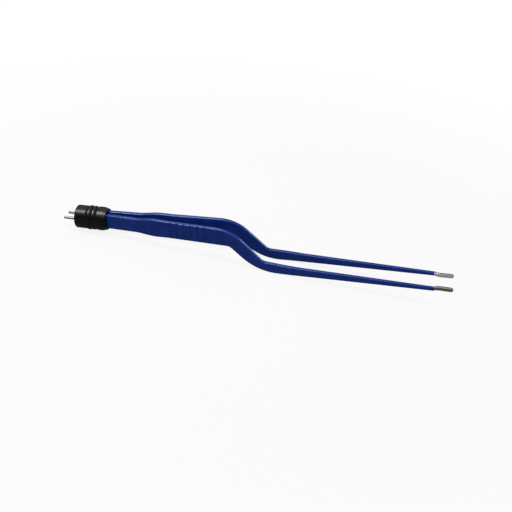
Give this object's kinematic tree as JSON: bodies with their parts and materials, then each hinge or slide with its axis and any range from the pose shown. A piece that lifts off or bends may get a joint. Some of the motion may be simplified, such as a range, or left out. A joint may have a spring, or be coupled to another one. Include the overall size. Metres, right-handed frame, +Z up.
{
  "type": "bipolar forceps",
  "caption": "Bayonet bipolar forceps with blue insulated spring arms, grip grooves, bare steel tips and a ribbed black plug with contact pins.",
  "frame": {"origin": "middle of the bounding box on the surface that the forceps lie on", "axes": "+X from the plug to the tips, +Y to the left arm, +Z up; at rest they lie on the rear edge of the plug and on the outside of both lower bends, so the plug's own axis rises by 5.6 degrees towards the tips"},
  "size_m": [0.224, 0.0182, 0.0199],
  "materials": {
    "plug_plastic": "moulded black plastic with a soft shine",
    "block_plastic": "moulded black insulator",
    "pin_metal": "turned and nickel plated",
    "blade_steel": "fine satin stainless steel",
    "coat_nylon": "blue nylon coat with a soft gloss"
  },
  "bodies": {
    "plug": {"plug_housing": "plug_plastic", "pin_block": "block_plastic", "blade_spacer": "block_plastic", "left_pin": "pin_metal", "right_pin": "pin_metal"},
    "left_arm": {"left_blade": "blade_steel", "left_coat": "coat_nylon"},
    "right_arm": {"right_blade": "blade_steel", "right_coat": "coat_nylon"}
  },
  "joints": [
    {"name": "left_arm_squeeze", "type": "hinge", "parent": "plug", "child": "left_arm", "pos_m": [-0.09254, 0.00212, 0.00775], "axis": [0.098, 0, -0.9952], "range_deg": [0, 1.78], "stiffness_Nm_per_rad": 3.6},
    {"name": "right_arm_squeeze", "type": "hinge", "parent": "plug", "child": "right_arm", "pos_m": [-0.09254, -0.00212, 0.00775], "axis": [-0.098, 0, 0.9952], "range_deg": [0, 1.78], "stiffness_Nm_per_rad": 3.6}
  ]
}
